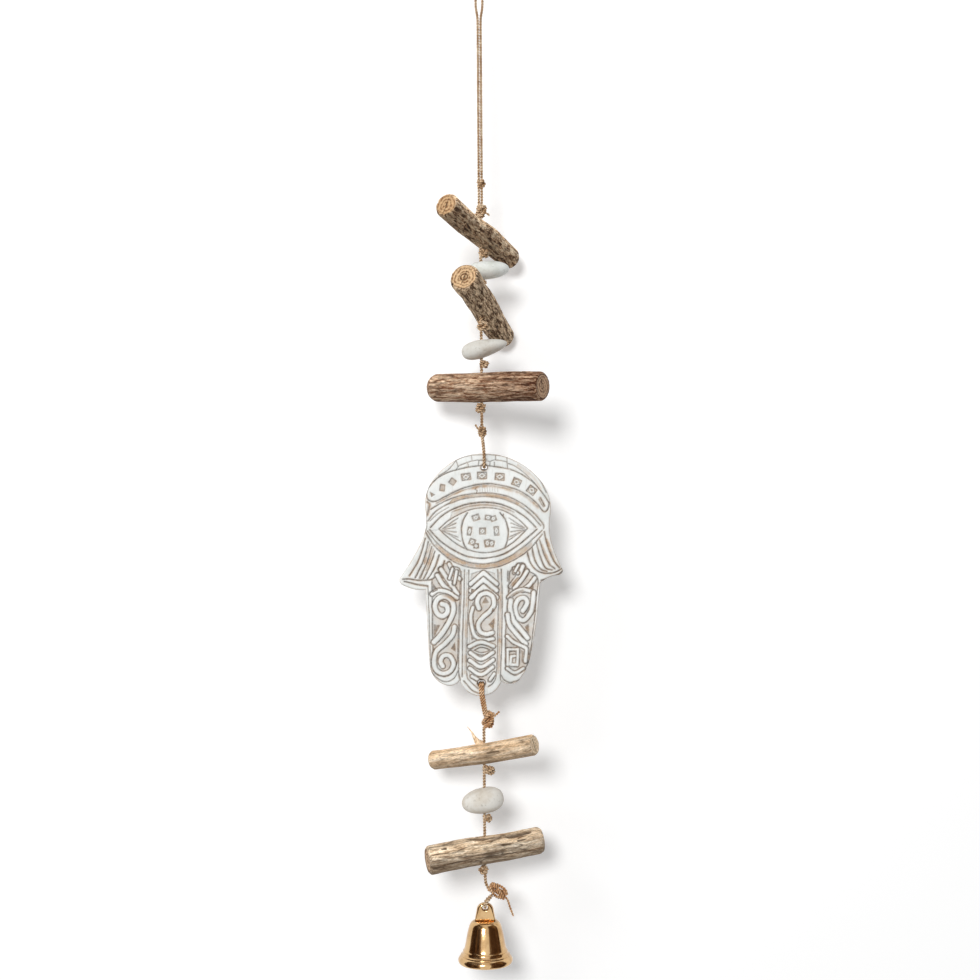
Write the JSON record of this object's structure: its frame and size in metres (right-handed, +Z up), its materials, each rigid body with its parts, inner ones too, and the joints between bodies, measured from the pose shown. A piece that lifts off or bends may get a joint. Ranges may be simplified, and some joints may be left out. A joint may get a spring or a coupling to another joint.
{
  "type": "hanging hand ornament",
  "caption": "Carved hamsa hand hung on twine between drilled driftwood sticks and pebbles, with a small brass bell at the foot that rings as it moves.",
  "frame": {"origin": "middle of the nail that the hanging loop goes over", "axes": "+Z up along the cord, +X to the viewer's right along the hand's width, -Y out from the carved face towards the viewer"},
  "size_m": [0.1013, 0.0845, 0.6044],
  "materials": {
    "natural_twine": "twisted natural fibre",
    "whitewashed_wood": "whitewashed and rubbed back",
    "polished_brass": "polished",
    "dull_brass": "as cast",
    "steel_wire": "plain wire",
    "driftwood_furrowed": "weathered furrowed bark",
    "driftwood_rough": "weathered rough bark",
    "driftwood_red": "worn red-brown bark",
    "driftwood_pale": "smooth bare wood",
    "driftwood_grey": "weathered cracked wood",
    "pebble_green_white": "water-worn",
    "pebble_cream": "water-worn",
    "pebble_off_white": "water-worn"
  },
  "bodies": {
    "upper_string": {"hanging_loop": "natural_twine", "knot_1": "natural_twine", "knot_2": "natural_twine", "upper_cord": "natural_twine", "knot_3": "natural_twine", "knot_4": "natural_twine", "knot_5": "natural_twine", "knot_6": "natural_twine", "knot_7": "natural_twine"},
    "hand_string": {"knot_8": "natural_twine", "hand_loop": "natural_twine"},
    "hamsa_hand": {"hand": "whitewashed_wood"},
    "lower_string": {"lower_loop": "natural_twine", "knot_9": "natural_twine", "lower_cord": "natural_twine", "knot_10": "natural_twine", "knot_11": "natural_twine", "knot_12": "natural_twine", "bell_knot": "natural_twine", "bell_strands": "natural_twine"},
    "bell_shell": {"bell": "polished_brass", "clapper_staple": "steel_wire"},
    "bell_clapper": {"clapper": "dull_brass"},
    "driftwood_1_body": {"driftwood_1": "driftwood_furrowed"},
    "pebble_1_body": {"pebble_1": "pebble_green_white"},
    "driftwood_2_body": {"driftwood_2": "driftwood_rough"},
    "pebble_2_body": {"pebble_2": "pebble_cream"},
    "driftwood_3_body": {"driftwood_3": "driftwood_red"},
    "driftwood_4_body": {"driftwood_4": "driftwood_pale"},
    "pebble_3_body": {"pebble_3": "pebble_off_white"},
    "driftwood_5_body": {"driftwood_5": "driftwood_grey"}
  },
  "joints": [
    {"name": "driftwood_1_spin", "type": "hinge", "parent": "upper_string", "child": "driftwood_1_body", "pos_m": [0, 0, -0.1463], "axis": [0, 0, 1], "continuous": true},
    {"name": "pebble_1_spin", "type": "hinge", "parent": "upper_string", "child": "pebble_1_body", "pos_m": [0, 0, -0.16889], "axis": [0, 0, 1], "continuous": true},
    {"name": "driftwood_2_spin", "type": "hinge", "parent": "upper_string", "child": "driftwood_2_body", "pos_m": [0, 0, -0.1896], "axis": [0, 0, 1], "continuous": true},
    {"name": "pebble_2_spin", "type": "hinge", "parent": "upper_string", "child": "pebble_2_body", "pos_m": [0, 0, -0.21766], "axis": [0, 0, 1], "continuous": true},
    {"name": "driftwood_3_spin", "type": "hinge", "parent": "upper_string", "child": "driftwood_3_body", "pos_m": [0, 0, -0.242], "axis": [0, 0, 1], "continuous": true},
    {"name": "hand_twist", "type": "hinge", "parent": "upper_string", "child": "hand_string", "pos_m": [0, 0, -0.2663], "axis": [0, 0, 1], "range_deg": [-90, 90]},
    {"name": "hand_tilt", "type": "hinge", "parent": "hand_string", "child": "hamsa_hand", "pos_m": [0.00126, 0, -0.29256], "axis": [0, 1, 0], "range_deg": [-25, 25]},
    {"name": "lower_string_swing", "type": "hinge", "parent": "hamsa_hand", "child": "lower_string", "pos_m": [-0.00129, 0, -0.42635], "axis": [0, 1, 0], "range_deg": [-30, 30]},
    {"name": "driftwood_4_spin", "type": "hinge", "parent": "lower_string", "child": "driftwood_4_body", "pos_m": [0, 0, -0.4708], "axis": [0, 0, 1], "continuous": true},
    {"name": "pebble_3_spin", "type": "hinge", "parent": "lower_string", "child": "pebble_3_body", "pos_m": [0, 0, -0.50037], "axis": [0, 0, 1], "continuous": true},
    {"name": "driftwood_5_spin", "type": "hinge", "parent": "lower_string", "child": "driftwood_5_body", "pos_m": [0, 0, -0.5314], "axis": [0, 0, 1], "continuous": true},
    {"name": "bell_swing", "type": "hinge", "parent": "lower_string", "child": "bell_shell", "pos_m": [0, 0, -0.56629], "axis": [0, 1, 0], "range_deg": [-25, 25]},
    {"name": "clapper_swing", "type": "hinge", "parent": "bell_shell", "child": "bell_clapper", "pos_m": [0, 0, -0.5811], "axis": [1, 0, 0], "range_deg": [-33, 33]}
  ]
}
